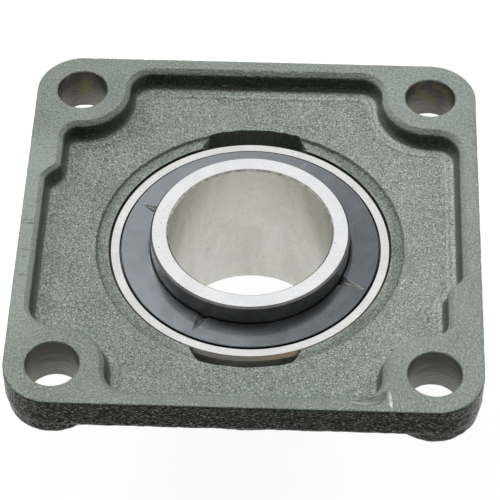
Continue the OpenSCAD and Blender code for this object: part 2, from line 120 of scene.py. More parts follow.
def make_camera():
    flat = math.cos(CAMERA_ELEVATION)
    look = Vector((
        math.sin(CAMERA_AZIMUTH) * flat, math.cos(CAMERA_AZIMUTH) * flat, -math.sin(CAMERA_ELEVATION)
    ))
    level = look.cross(Vector((0, 0, 1))).normalized()
    upright = level.cross(look)
    right = math.cos(CAMERA_ROLL) * level + math.sin(CAMERA_ROLL) * upright
    up = math.cos(CAMERA_ROLL) * upright - math.sin(CAMERA_ROLL) * level
    place = -CAMERA_DISTANCE * look - CAMERA_DROP * up
    data = bpy.data.cameras.new("camera")
    data.sensor_width = SENSOR_MM
    data.lens = FOCAL_PIXELS / IMAGE_PIXELS * SENSOR_MM
    data.clip_start = 0.05
    camera = add_object("camera", data)
    turn = Matrix((right, up, -look)).transposed().to_4x4()
    camera.matrix_world = Matrix.Translation(place) @ turn
    bpy.context.scene.camera = camera


make_camera()
bpy.context.scene.view_settings.view_transform = "Standard"


# Shader helpers, and the numbers of a Mix node's colour sockets
MIX_A = 6
MIX_B = 7
MIX_RESULT = 2


class Shader:
    """A node material with short calls for the nodes that the finishes share. The sizes of noise and
    bumps are in millimetres."""

    def __init__(self, name):
        self.material = bpy.data.materials.new(name)
        self.material.use_nodes = True
        self.nodes = self.material.node_tree.nodes
        self.links = self.material.node_tree.links
        self.bsdf = self.nodes["Principled BSDF"]
        self.place = self.nodes.new("ShaderNodeTexCoord").outputs["Object"]

    def plug(self, value, socket):
        if isinstance(value, bpy.types.NodeSocket):
            self.links.new(value, socket)
        else:
            socket.default_value = value

    def set(self, **values):
        for name, value in values.items():
            self.plug(value, self.bsdf.inputs[name.replace("_", " ")])

    def noise(self, size, detail=2.0, stretch=None, distortion=0.0):
        node = self.nodes.new("ShaderNodeTexNoise")
        node.inputs["Scale"].default_value = 1 / (size * MM)
        node.inputs["Detail"].default_value = detail
        node.inputs["Distortion"].default_value = distortion
        self.links.new(self.stretched(stretch) if stretch else self.place, node.inputs["Vector"])
        return node.outputs["Fac"]

    def stretched(self, factors):
        node = self.nodes.new("ShaderNodeMapping")
        node.inputs["Scale"].default_value = factors
        self.links.new(self.place, node.inputs["Vector"])
        return node.outputs["Vector"]

    def math(self, kind, a, b=0.0, c=0.0):
        node = self.nodes.new("ShaderNodeMath")
        node.operation = kind
        for value, socket in zip((a, b, c), node.inputs):
            self.plug(value, socket)
        return node.outputs[0]

    def times(self, a, b, plus=0.0):
        return self.math("MULTIPLY_ADD", a, b, plus)

    def spread(self, value, low, high, to_low=0.0, to_high=1.0):
        node = self.nodes.new("ShaderNodeMapRange")
        node.interpolation_type = "SMOOTHSTEP"
        for v, socket in zip((value, low, high, to_low, to_high), node.inputs):
            self.plug(v, socket)
        return node.outputs["Result"]

    def swing(self, value, low, high):
        """A value spread from -0.5 to 0.5."""
        return self.math("SUBTRACT", self.spread(value, low, high), 0.5)

    def mix(self, factor, a, b):
        node = self.nodes.new("ShaderNodeMix")
        node.data_type = "RGBA"
        self.plug(factor, node.inputs[0])
        for value, socket in ((a, node.inputs[MIX_A]), (b, node.inputs[MIX_B])):
            self.plug((*value, 1) if isinstance(value, tuple) else value, socket)
        return node.outputs[MIX_RESULT]

    def attribute(self, name):
        node = self.nodes.new("ShaderNodeAttribute")
        node.attribute_name = name
        return node.outputs["Fac"]

    def axes(self):
        node = self.nodes.new("ShaderNodeSeparateXYZ")
        self.links.new(self.place, node.inputs[0])
        return node.outputs

    def bump(self, height, deep, strength=1.0, under=None):
        node = self.nodes.new("ShaderNodeBump")
        node.inputs["Distance"].default_value = deep * MM
        self.plug(strength, node.inputs["Strength"])
        self.links.new(height, node.inputs["Height"])
        if under:
            self.links.new(under, node.inputs["Normal"])
        return node.outputs["Normal"]


# Finishes
PAINT_DARK = (0.085, 0.11, 0.091)
PAINT_LIGHT = (0.26, 0.302, 0.275)
# Colour of painted glints, highlights painted into the paint
PAINTED_GLINT = (0.56, 0.6, 0.595)
# Colour of painted shade on the recess walls, the rounded outer edge and the land's edge
PAINTED_SHADE = (0.03, 0.036, 0.03)
# Colour of painted shade where the paint is pitted
PAINTED_PIT_SHADE = (0.02, 0.024, 0.02)


def housing_paint():
    """Glossy grey-green paint: grainy where the recess is rough, with dark specks of painted shade where
    it is pitted, orange peel elsewhere, painted glints on the floor, the bead and the peel's crests,
    painted shade on the recess walls and edges, a painted sheen on the peel, painted light towards +X,
    short dashes of light on steep sides and cross lines of rubbing on the rim towards -X, where worn paint
    is lighter as a painted sheen."""
    s = Shader("housing_paint")
    rough, steep = s.attribute("cast"), s.attribute("steep")
    shade, bead = s.attribute("shade"), s.attribute("bead")
    x, y, z = s.axes()
    across = s.times(y, 0.6, x)
    smooth = s.math("SUBTRACT", 1, rough)
    grain = s.noise(0.65, 2)
    fine = s.noise(0.34, 2)
    peel = s.noise(0.6, 2, (0.6, 0.6, 0.95))
    speck = s.times(grain, 0.6, s.times(fine, 0.4))
    speckle = s.swing(speck, 0.4, 0.6)

    # Rubbed lines on the rim towards -X, where the paint is worn and made lighter as a painted sheen
    rubbed_and_sheen = s.times(s.spread(x, -62 * MM, -55 * MM, 1, 0), smooth)
    rubbed_and_sheen = s.times(s.spread(y, -50 * MM, -30 * MM), rubbed_and_sheen)
    rubbed_and_sheen = s.times(s.spread(y, 28 * MM, 40 * MM, 1, 0), rubbed_and_sheen)
    lines = s.spread(s.noise(0.7, 2, (0.12, 1, 1)), 0.6, 0.72, 0, -0.8)

    # Dark and light paint, with a painted sheen on the peel and painted light towards +X
    tone = s.times(speckle, s.times(rough, 0.75), 0.5)
    # Painted sheen: the peel made lighter and darker, more so towards +X
    peel_sheen = s.times(s.swing(peel, 0.38, 0.62), smooth)
    tone = s.times(peel_sheen, s.spread(x, -60 * MM, 60 * MM, 0.05, 0.2), tone)
    dots = s.times(speckle, smooth)
    tone = s.times(dots, s.spread(x, -60 * MM, 20 * MM, 0.6, 0.1), tone)
    tone = s.times(s.math("SUBTRACT", s.noise(13, 3), 0.5), 0.6, tone)
    # The rim towards -X is lighter: worn paint, and a painted sheen
    tone = s.times(rubbed_and_sheen, s.math("ADD", lines, 0.42), tone)
    # Painted light: lighter towards +X
    tone = s.math("ADD", tone, s.spread(x, 15 * MM, 55 * MM, 0, 0.16))
    colour = s.mix(tone, PAINT_DARK, PAINT_LIGHT)

    # Painted glints on the rough floor, on the bead and on the peel's crests, then painted shade, also in
    # pitted spots
    painted_glint = s.times(s.spread(s.noise(0.42, 1), 0.59, 0.69, 0, 0.75), rough)
    painted_glint = s.times(painted_glint, s.spread(x, -20 * MM, 60 * MM, 1, 1.5))
    # Painted glints along the bead at the wall's foot, more towards +X and +Y
    ridge = s.times(s.spread(s.noise(0.5, 1), 0.42, 0.6, 0.1, 0.6), bead)
    ridge = s.times(ridge, s.spread(across, 0, 40 * MM))
    skin_grain = s.noise(0.42, 2, (0.7, 0.7, 0.95))
    # Painted glints on the peel's crests, more towards +X and +Y
    painted_crest_glint = s.spread(across, -40 * MM, 60 * MM, 0.06, 0.26)
    painted_crest_glint = s.times(s.spread(skin_grain, 0.48, 0.62), painted_crest_glint)
    painted_crest_glint = s.times(painted_crest_glint, s.math("SUBTRACT", smooth, rubbed_and_sheen))
    painted_glint = s.math("ADD", s.math("MAXIMUM", painted_glint, ridge), painted_crest_glint)
    colour = s.mix(painted_glint, colour, PAINTED_GLINT)
    # Painted shade on the recess walls, the flange's rounded edge towards -Y and the land's edge
    colour = s.mix(s.times(shade, 0.75), colour, PAINTED_SHADE)
    # Dark specks of painted shade where the rough paint is pitted
    pit_shade = s.times(s.spread(s.noise(0.6, 1), 0.27, 0.38, 0.9, 0), rough)
    s.set(Base_Color=s.mix(pit_shade, colour, PAINTED_PIT_SHADE))

    # Shine and bumps
    dashes = s.noise(0.3, 2, (0.3, 0.3, 1), 0.5)
    patch = s.spread(dashes, 0.53, 0.68, -0.1, s.spread(z, -17 * MM, -12 * MM, 0.35, 1.2))
    s.set(Specular_IOR_Level=s.times(patch, steep, 0.14))
    s.set(Specular_Tint=(1, 1, 0.8, 1))
    dull = s.times(rubbed_and_sheen, 0.2)
    s.set(Roughness=s.math("ADD", s.spread(fine, 0.3, 0.7, 0.13, 0.24), dull))
    skin_normal = s.bump(peel, 0.36, s.times(rubbed_and_sheen, -0.7, 0.95))
    s.set(Normal=s.bump(speck, 0.2, s.spread(rough, 0, 1, 0.15, 1.0), skin_normal))
    return s.material


def bolt_hole_wall():
    """Drilled iron with turning marks and brownish stains, darker towards the mounting face."""
    s = Shader("bolt_hole_wall")
    _, y, z = s.axes()
    rings = s.noise(0.34, 3, (0.06, 0.06, 1))
    stain = s.noise(4.5, 4)
    tone = s.times(s.swing(rings, 0.38, 0.62), 0.55, 0.33)
    tone = s.math("ADD", tone, s.spread(z, -15 * MM, -3 * MM, 0.5, -0.35))
    base = s.mix(tone, (0.055, 0.055, 0.047), (0.27, 0.267, 0.235))
    spots = s.spread(s.noise(0.5, 2), 0.42, 0.6, 0.2, 0.9)
    rusty = s.times(s.spread(stain, 0.45, 0.6), spots)
    rusty = s.times(rusty, s.spread(y, 0, 40 * MM, 0.1, 1))
    s.set(Base_Color=s.mix(rusty, base, (0.2, 0.16, 0.065)), Metallic=0.6)
    s.set(Roughness=s.spread(rings, 0.3, 0.7, 0.34, 0.5), Specular_IOR_Level=0.4)
    s.set(Normal=s.bump(rings, 0.12, 0.5))
    return s.material


def ground_steel(name, dark, light, roughness):
    """Ground steel with faint crossed marks and a few dark specks."""
    s = Shader(name)
    lines = s.noise(0.25, 2, (1, 0.12, 1))
    across = s.noise(0.4, 2, (0.1, 1, 1))
    blotch = s.noise(9, 3)
    value = s.times(lines, 0.35, s.times(across, 0.25))
    value = s.times(blotch, 0.4, value)
    base = s.mix(s.spread(value, 0.38, 0.62), dark, light)
    specks = s.spread(s.noise(0.9, 0), 0.84, 0.9, 0, 0.8)
    s.set(Base_Color=s.mix(specks, base, (0.12, 0.11, 0.1)), Metallic=1.0)
    s.set(Roughness=s.spread(lines, 0.3, 0.7, roughness, roughness + 0.03))
    s.set(Normal=s.bump(lines, 0.01, 0.25))
    return s.material


def bevel_steel():
    """The outer ring's bevelled edge, dark with a rusty bloom towards +X and -Y."""
    s = Shader("bevel_steel")
    x, y, _ = s.axes()
    side = s.spread(s.math("SUBTRACT", x, y), 42 * MM, 60 * MM)
    bloom = s.times(side, s.spread(s.noise(3, 3), 0.35, 0.55))
    s.set(Base_Color=s.mix(bloom, (0.16, 0.152, 0.138), (0.29, 0.2, 0.11)), Metallic=0.9)
    s.set(Roughness=s.spread(s.noise(0.4, 2), 0.3, 0.7, 0.3, 0.45))
    return s.material


def bore_steel():
    """Smeared steel with brownish traces and a few dark specks."""
    s = Shader("bore_steel")
    smear = s.noise(9, 4, (1, 1, 0.45), 0.8)
    trace = s.noise(5, 5, None, 1.6)
    line = s.math("ABSOLUTE", s.math("SUBTRACT", trace, 0.5))
    base = s.mix(s.spread(smear, 0.35, 0.65), (0.5, 0.5, 0.455), (0.61, 0.61, 0.565))
    base = s.mix(s.spread(line, 0, 0.012, 0.6, 0), base, (0.33, 0.31, 0.22))
    specks = s.spread(s.noise(0.8, 0), 0.86, 0.9, 0, 0.8)
    s.set(Base_Color=s.mix(specks, base, (0.05, 0.045, 0.035)), Metallic=1.0)
    s.set(Roughness=s.spread(smear, 0.3, 0.7, 0.3, 0.42))
    s.set(Normal=s.bump(s.noise(0.3, 2, (0.15, 0.15, 1)), 0.01, 0.3))
    return s.material


def flinger_coat():
    """Blue-grey coat on sheet steel, paler towards -X and +Y as painted light, darker the other way as
    painted shade.
    """
    s = Shader("flinger_coat")
    x, y, _ = s.axes()
    cloud = s.noise(7, 4, None, 0.5)
    dust = s.noise(0.5, 2)
    tone = s.times(s.swing(cloud, 0.3, 0.7), 0.14, 0.4)
    # Painted light and shade: paler towards -X and +Y, darker towards +X and -Y
    across = s.math("SUBTRACT", s.times(y, 0.5), x)
    tone = s.math("ADD", tone, s.spread(across, -40 * MM, 40 * MM, -0.24, 0.55))
    tone = s.times(s.swing(dust, 0.35, 0.65), 0.22, tone)
    base = s.mix(tone, (0.09, 0.099, 0.111), (0.235, 0.255, 0.283))
    s.set(Base_Color=s.mix(s.spread(dust, 0.68, 0.8, 0, 0.4), base, (0.05, 0.05, 0.055)), Metallic=0.7)
    s.set(Roughness=s.spread(cloud, 0.3, 0.7, 0.13, 0.16), Specular_IOR_Level=0.5)
    s.set(Normal=s.bump(dust, 0.01, 0.4))
    return s.material


def plain_finish(name, dark, light, metallic, roughness, size, deep):
    """Two colours in a soft grain. Its size and the depth of its bumps are in millimetres."""
    s = Shader(name)
    grain = s.noise(size, 3)
    s.set(Base_Color=s.mix(s.spread(grain, 0.35, 0.65), dark, light), Metallic=metallic)
    s.set(Roughness=s.spread(grain, 0.3, 0.7, roughness, roughness + 0.1))
    s.set(Normal=s.bump(grain, deep, 0.4))
    return s.material


PAINT = housing_paint()
HOLE_WALL = bolt_hole_wall()
SEAT_STEEL = ground_steel("seat_machined", (0.3, 0.3, 0.28), (0.42, 0.42, 0.4), 0.35)
OUTER_FACE = ground_steel("outer_ring_face", (0.68, 0.68, 0.67), (0.79, 0.79, 0.78), 0.03)
INNER_FACE = ground_steel("inner_ring_face", (0.75, 0.755, 0.765), (0.84, 0.845, 0.855), 0.03)
# Darkened copy of the ground steel: painted shade on the inner ring's outside
SIDE_STEEL_PAINTED_SHADE = ground_steel("ring_side_steel_painted_shade", (0.1, 0.097, 0.092), (0.18, 0.175, 0.165), 0.34)
# Brownish steel, lightened as painted light where the slots show the outer ring's round outside
OUTSIDE_STEEL_PAINTED_LIGHT = ground_steel("ring_outside_painted_light", (0.2, 0.184, 0.165), (0.36, 0.335, 0.305), 0.6)
BEVEL_STEEL = bevel_steel()
BORE_STEEL = bore_steel()
COAT = flinger_coat()
POOL = plain_finish("paint_pool", (0.045, 0.062, 0.04), (0.09, 0.112, 0.08), 0.0, 0.25, 2, 0.02)
# Pale: a painted highlight along the paint run's ridge
PAINTED_HIGHLIGHT_RIDGE = plain_finish("paint_ridge_painted_highlight", (0.3, 0.34, 0.33), (0.48, 0.52, 0.52), 0.0, 0.12, 1.5, 0.02)
CHAMFER_STEEL = plain_finish("bore_chamfer", (0.2, 0.185, 0.16), (0.36, 0.345, 0.31), 0.9, 0.34, 1.5, 0.01)
# Near-black: painted shade in the deep gap by the seals
SEAL_GROOVE_SHADE = plain_finish("seal_groove_painted_shade", (0.006, 0.006, 0.006), (0.016, 0.015, 0.014), 0.0, 0.5, 0.5, 0.01)
SEAL_SHEET = plain_finish("seal_sheet", (0.02, 0.02, 0.021), (0.05, 0.05, 0.05), 0.6, 0.5, 0.8, 0.01)
# Darker finishes for the pressed grooves: painted shade, with a cool and a warm side as painted
# reflections
CREASE_SHADE_COOL = plain_finish("crease_painted_shade_cool", (0.05, 0.055, 0.062), (0.13, 0.14, 0.155), 0.4, 0.4, 2.5, 0.01)
CREASE_SHADE_WARM = plain_finish("crease_painted_shade_warm", (0.07, 0.066, 0.056), (0.16, 0.152, 0.13), 0.4, 0.4, 2.5, 0.01)
CHROME = plain_finish("ball_chrome", (0.72, 0.72, 0.72), (0.8, 0.8, 0.8), 1.0, 0.08, 3, 0.002)
SHEET = plain_finish("cage_sheet", (0.44, 0.43, 0.4), (0.58, 0.57, 0.53), 1.0, 0.32, 0.8, 0.01)
RUBBER = plain_finish("seal_rubber", (0.012, 0.012, 0.012), (0.026, 0.026, 0.026), 0.0, 0.5, 0.5, 0.02)
OXIDE = plain_finish("black_oxide", (0.035, 0.035, 0.037), (0.075, 0.074, 0.073), 0.8, 0.36, 0.6, 0.01)
ZINC = plain_finish("yellow_zinc", (0.5, 0.4, 0.17), (0.66, 0.57, 0.32), 1.0, 0.24, 1.5, 0.006)
WIRE = plain_finish("spring_wire", (0.48, 0.48, 0.48), (0.6, 0.6, 0.6), 1.0, 0.22, 0.5, 0.004)


# Mesh helpers
ROUND_SHARE = 0.45  # the most of an edge that a rounding takes
OVER = 1 * MM  # how far a plug reaches past what it cuts
AXIS_R = 1e-6  # the radius of a turned plug on its axis


def turns(count):
    """Equal angles once around."""
    return [2 * math.pi * k / count for k in range(count)]


def rounded(points, steps=3):
    """A closed outline of corners (x, y, radius), each rounded by a short curve."""
    out = []
    for i, (x, y, radius) in enumerate(points):
        corner = Vector((x, y))
        back = Vector(points[i - 1][:2]) - corner
        ahead = Vector(points[(i + 1) % len(points)][:2]) - corner
        if not radius:
            out.append(corner)
            continue
        half = back.angle(ahead) / 2
        run = min(radius / math.tan(half), ROUND_SHARE * back.length, ROUND_SHARE * ahead.length)
        start, end = corner + back.normalized() * run, corner + ahead.normalized() * run
        for k in range(steps + 1):
            t = k / steps
            out.append(start * (1 - t) ** 2 + corner * (2 * t * (1 - t)) + end * t ** 2)
    return out


def arc(centre_x, centre_y, r, start, end, steps):
    """Corners along an arc, from one angle to another, in degrees."""
    angles = [math.radians(start + (end - start) * k / steps) for k in range(steps + 1)]
    return [(centre_x + r * math.cos(a), centre_y + r * math.sin(a), 0) for a in angles]


def finish_mesh(mesh, sharp):
    mesh.validate()
    mesh.shade_smooth()
    mesh.set_sharp_from_angle(angle=math.radians(sharp))
    mesh.update()


def skin(name, rings, materials, closed=False, sharp=SHARP):
    """A surface through rings of points. A closed one joins its last ring to its first.
    Otherwise each end is capped."""
    n = len(rings[0])
    verts = [p for ring in rings for p in ring]
    count = len(rings)
    faces = []
    for i in range(count if closed else count - 1):
        a, b = i * n, (i + 1) % count * n
        faces += [(a + j, b + j, b + (j + 1) % n, a + (j + 1) % n) for j in range(n)]
    if not closed:
        faces += [tuple(range(n)), tuple((count - 1) * n + j for j in reversed(range(n)))]
    mesh = bpy.data.meshes.new(name)
    mesh.from_pydata(verts, [], faces)
    for m in materials:
        mesh.materials.append(m)
    finish_mesh(mesh, sharp)
    return add_object(name, mesh)


def turned(name, profile, materials, height=0.0, segments=SEGMENTS, closed=True, sharp=SHARP):
    """A profile of corners (radius, height, rounding) that runs clockwise, turned about the shaft."""
    angles = turns(segments)
    rings = [
        [(r * math.cos(a), r * math.sin(a), z + height) for a in angles] for r, z in rounded(profile)
    ]
    return skin(name, rings, materials, closed, sharp)


def rod(name, r, top, bottom, segments):
    """A round plug about the Z axis."""
    profile = [(AXIS_R, top, 0), (r, top, 0), (r, bottom, 0), (AXIS_R, bottom, 0)]
    return turned(name, profile, [], 0, segments, closed=False)


def cut(piece, *cutters):
    """Takes the cutters out of a piece and removes them."""
    for cutter in cutters:
        boolean = piece.modifiers.new("cut", "BOOLEAN")
        boolean.operation = "DIFFERENCE"
        boolean.solver = "MANIFOLD"
        boolean.object = cutter
    settle(piece)
    for cutter in cutters:
        bpy.data.objects.remove(cutter)


def settle(piece):
    """Replaces a piece's mesh by the one that its modifiers make."""
    bpy.context.view_layer.update()
    made = bpy.data.meshes.new_from_object(piece.evaluated_get(bpy.context.evaluated_depsgraph_get()))
    piece.modifiers.clear()
    piece.data = made


def stands_for(piece, node, body):
    """Lets a piece ride a body in place of a node."""
    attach(piece, body)
    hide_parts(node)


# Places of the set screws and the grease nipple
joints = {j["name"]: j for j in frame["record"]["behaviour"]["joints"]}
SCREWS = ("set_screw_1", "set_screw_2")
SCREW_R = 4.92 * MM
SCREW_HOLE_R = 5 * MM
SCREW_TIP = BORE_R + 0.4 * MM
SCREW_LEN = 10 * MM
SOCKET_AF = 5 * MM
NIPPLE_R = 3 * MM
NIPPLE_SHANK = 5.5 * MM
NIPPLE_LEN = 10 * MM
NIPPLE_GAP = 0.05 * MM
NIPPLE_SPARE = 0.8 * MM
CHECK_R = (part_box("nipple_ball")[1].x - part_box("nipple_ball")[0].x) / 2
CHAMBER_R = CHECK_R + 0.3 * MM
MOUTH_R = CHECK_R - 0.5 * MM
CHAMBER_TOP = NIPPLE_LEN - 1.2 * MM
CHAMBER_FOOT = 1.2 * MM - NIPPLE_SHANK
CHECK_H = CHAMBER_TOP + MOUTH_R - (CHECK_R + 0.05 * MM) * math.sqrt(2)


def along(axis, side, place):
    """A frame at a place, with its Z along an axis and its X near a side."""
    z = Vector(axis).normalized()
    x = (Vector(side) - z * z.dot(Vector(side))).normalized()
    return Matrix.Translation(place) @ Matrix((x, z.cross(x), z)).transposed().to_4x4()


def screw_frame(node):
    """Z runs outwards along a set screw, from the shaft."""
    low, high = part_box(node)
    axis = -Vector(joints[node + "_travel"]["axis"])
    return along(axis, (0, 0, -1), Vector((0, 0, (low.z + high.z) / 2)))


def nipple_frame():
    """Z runs outwards along the grease nipple, from its seat."""
    low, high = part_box("nipple_ball")
    axis = ((low + high) / 2 - Vector((0, 0, CENTRE_Z))).normalized()
    return along(axis, (1, 0, 0), (low + high) / 2 - axis * CHECK_H)


# Casting
VOXEL = 0.7 * MM
CORNER_R = FLANGE_HALF - BOLT_HALF
CORNER_STEPS = 24
RECESS_HALF = FLANGE_HALF - 5.6 * MM
PAD_R = 15.2 * MM
PAD_FILLET = 7.5 * MM
LUG_W = 4.5 * MM
LUG_END = 24.4 * MM
LUG_BLEND = 6.8 * MM
LUG_FILLET = 4.5 * MM
RIM_EDGE = 1.5 * MM
RIM_CURVE = ((0.65, 0.3), (0.3, 0.62), (0.1, 0.86))
RECESS_DEPTH = 7 * MM
FOOT_R = 2.8 * MM
FOOT_STEPS = 9
FOOT_BEAD = 0.24 * MM
BEAD_W = 1.8 * MM
WALL_RUN = 0.38 * MM
WALL_DROP = 2.5 * MM
FLOOR_DEPTH = 9.2 * MM
LAND_Z = -10 * MM
LAND_W = 3.6 * MM
LAND_STEP = 0.7 * MM
LAND_STEPS = 720
LAND_EDGE = ((1.2 * MM, 2 * MM), (0.15 * MM, 0.55 * MM), (-0.25 * MM, 0))
SLOT_HALF = 13.9 * MM
SLOT_FLARE = 2.9 * MM
SLOT_CORNER = 2 * MM
SLOT_R = INSERT_R + 3 * MM
SLOT_INNER = 0.9 * INSERT_R
SLOT_STEPS = 24
SLOT_LEVELS = 18
RELIEF_Z = -34.6 * MM
RELIEF_R = 44.05 * MM
SEAT_R = INSERT_R + SEAT_GAP
SEAT_STEPS = 40
LAND_R = math.sqrt(SEAT_R ** 2 - (LAND_Z - CENTRE_Z) ** 2) + LAND_W
BOSS_FRONT = -15.5 * MM
HOLE_EDGE = 0.3 * MM
GRID = 0.8 * MM
FILL_WALL = 0.6 * MM
SEAT_WALL = 0.4 * MM
TOP_SPARE = 1.5 * MM
SLAB_INNER = 0.5
SLAB_RINGS = 44
EDGE_R = 0.75 * MM
EDGE_STEPS = 6
NICK_PLACES = (-52.3 * MM, -36.1 * MM)
NICK_R = 1.5 * MM
NICK_DEEP = 0.65 * MM
NICK_H = 3 * MM

# The filled flange: its inset and height at each level
PLATE_LEVELS = [(0, TOP_SPARE), (0, -0.3 * MM), (0.12 * MM, -0.35 * MM), (0.14 * MM, -10.2 * MM),
                (0.9 * MM, -11.3 * MM)]

# Waves of the casting's surfaces: size and height, where the outside's heights are in millimetres
WALL_WAVE = (5 * MM, 0.09 * MM)
FLOOR_WAVES = ((3.4 * MM, 0.1 * MM), (1.5 * MM, 0.08 * MM))
FACE_WAVE = (2.4 * MM, 0.03 * MM)
LAND_WAVE = (1.6 * MM, 0.3 * MM)
SLOT_WAVE = (1.8 * MM, 0.3 * MM)
OUTSIDE_WAVE = (7 * MM, 0.12)
OUTSIDE_PEEL = (2.2 * MM, 0.16)
OUTSIDE_DROP = 0.06
PEEL_SQUASH = np.array((1, 1, 2.0))

# Where the paint changes: depths, slopes, and how near the faces of holes and seat lie to them
ROUGH_DEPTHS = (5.5 * MM, 7 * MM)
STEEP = (0.75, 0.95)
# How much painted shade the land's edge takes
LAND_PAINTED_SHADE = 0.55
NEAR_HOLE = 0.02 * MM
NEAR_SEAT = 0.1 * MM


def smooth_step(low, high, value):
    t = np.clip((value - low) / (high - low), 0, 1)
    return t * t * (3 - 2 * t)


def spun(point, quarter):
    """A point of an outline, turned by quarters about the shaft."""
    x, y = point[0], point[1]
    for _ in range(quarter):
        x, y = -y, x
    return x, y


def even(outline, like):
    """An outline with points added to each edge, so that those of another one lie a grid step apart."""
    out = []
    for i, (a, c) in enumerate(zip(outline, like)):
        b, d = outline[(i + 1) % len(outline)], like[(i + 1) % len(like)]
        steps = max(1, round(math.dist(c, d) / GRID))
        out += [(a[0] + (b[0] - a[0]) * k / steps, a[1] + (b[1] - a[1]) * k / steps) for k in range(steps)]
    return out


def flange_outline(inset):
    """The flange's outline, moved inwards by inset."""
    def whole(amount):
        corner = arc(BOLT_HALF, BOLT_HALF, CORNER_R - amount, 0, 90, CORNER_STEPS)
        return [spun(p, q) for q in range(4) for p in corner]
    return even(whole(inset), whole(0.0))


def flange_loft(name, levels, closed=False):
    """A solid through the flange's outline at levels of (inset, height)."""
    return skin(name, [[(x, y, z) for x, y in flange_outline(inset)] for inset, z in levels], [], closed)


def fillet_centre(wall, r):
    """Centre of the fillet between a corner pad and a wall of the recess."""
    x = wall - r
    return x, BOLT_HALF - math.sqrt((PAD_R + r) ** 2 - (BOLT_HALF - x) ** 2)


def recess_side(inset, lug, lug_r):
    """One side of the recess, from pad to pad, moved inwards by inset."""
    low_x, low_y = fillet_centre(RECESS_HALF - lug, lug_r)
    high_x, high_y = fillet_centre(RECESS_HALF, PAD_FILLET)
    low = math.degrees(math.atan2(BOLT_HALF - low_y, low_x - BOLT_HALF))
    high = math.degrees(math.atan2(BOLT_HALF - high_y, BOLT_HALF - high_x))
    steps = 12
    points = arc(BOLT_HALF, -BOLT_HALF, PAD_R + inset, 135, low, steps)
    points += arc(low_x, -low_y, lug_r - inset, low + 180, 360, steps)[1:]
    for k in range(steps + 1):
        back = lug * (1 - smooth_step(0, steps, k))
        points.append((RECESS_HALF - back - inset, -LUG_END + LUG_BLEND * k / steps, 0))
    points += arc(high_x, high_y, PAD_FILLET - inset, 0, high, steps)
    points += arc(BOLT_HALF, BOLT_HALF, PAD_R + inset, high - 180, -135, steps)[1:-1]
    return points


def recess_outline(inset):
    """The recess's outline, moved inwards by inset."""
    def whole(amount):
        sides = [(0.0, PAD_FILLET) if q % 2 else (LUG_W, LUG_FILLET) for q in range(4)]
        return [spun(p, q) for q in range(4) for p in recess_side(amount, *sides[q])]
    return even(whole(inset), whole(0.0))


def wavy(p, size, deep):
    """The height of soft waves at a point."""
    return deep * noise.noise(Vector(p) / size)


def waved(outline, z, wave, side=1):
    """A ring along an outline, moved in and out by waves. With side -1 it lies across the shaft."""
    ring = []
    for x, y in outline:
        out = 1 + wavy((x, side * y, z), *wave) / math.hypot(x, y)
        ring.append((side * x * out, side * y * out, z))
    return ring


def recess_plug():
    """The hollow of the mounting face, to be cut: chamfered edge, steep wall, foot fillet, rough floor."""
    chamfer = [(-RIM_EDGE - OVER, OVER), (-RIM_EDGE, 0)]
    chamfer += [(-out * RIM_EDGE, -down * RIM_EDGE) for out, down in RIM_CURVE]
    wall = [(WALL_RUN * t, -RIM_EDGE - WALL_DROP * t) for t in (0.0, 0.33, 0.66)]
    foot = arc(WALL_RUN + FOOT_R, FOOT_R - RECESS_DEPTH, FOOT_R, 180, 270, FOOT_STEPS)
    levels = chamfer + wall + [q[:2] for q in foot]
    rings = [waved(recess_outline(inset), z, WALL_WAVE) for inset, z in levels]
    last = rings[-1]
    bead_steps, floor_steps = 7, 17
    places = [(BEAD_W * k / bead_steps, 0.0) for k in range(1, bead_steps + 1)]
    places += [(BEAD_W, k / floor_steps) for k in range(1, floor_steps + 1)]
    for out, share in places:
        bead = FOOT_BEAD * math.sin(math.pi * out / BEAD_W)
        ring = []
        for x, y, z in last:
            run = math.hypot(x, y) - LAND_R - LAND_STEP
            t = share + (1 - share) * out / run
            shrink = 1 - t * run / math.hypot(x, y)
            place = (x * shrink, y * shrink)
            rise = sum(wavy((*place, k), *wave) for k, wave in enumerate(FLOOR_WAVES))
            sink = (RECESS_DEPTH - FLOOR_DEPTH) * t
            ring.append((*place, z + sink + rise * min(1, out / BEAD_W) + bead))
        rings.append(ring)
    return skin("recess_plug", rings, [])


def top_slab():
    """What lies above the mounting face, to be cut: its underside has the paint's faint orange peel."""
    outline = flange_outline(-2 * OVER)
    rings = [[(x, y, 3 * TOP_SPARE) for x, y in outline]]
    for scale in np.linspace(1, SLAB_INNER, SLAB_RINGS):
        places = [(x * scale, y * scale) for x, y in outline]
        rings.append([(x, y, wavy((x, y, 0), *FACE_WAVE) - FACE_WAVE[1]) for x, y in places])
    return skin("top_slab", rings, [])


def edge_plug():
    """What lies outside the rounded outer edge of the mounting face, to be cut."""
    levels = [(EDGE_R, OVER), (-OVER, OVER), (-OVER, -EDGE_R)]
    levels += [(EDGE_R - x, y) for x, y, _ in arc(0, -EDGE_R, EDGE_R, 0, 90, EDGE_STEPS)]
    return flange_loft("edge_plug", levels, closed=True)


def land_plug():
    """The sunk land around the bearing, to be cut, with a rough edge."""
    rings = []
    for out, up in LAND_EDGE:
        r, z = LAND_R + out, LAND_Z + up
        ring = []
        for a in turns(LAND_STEPS):
            x, y = math.cos(a), math.sin(a)
            edge = r + wavy((r * x, r * y, z), *LAND_WAVE)
            ring.append((edge * x, edge * y, z))
        rings.append(ring)
    return skin("land_plug", rings, [])


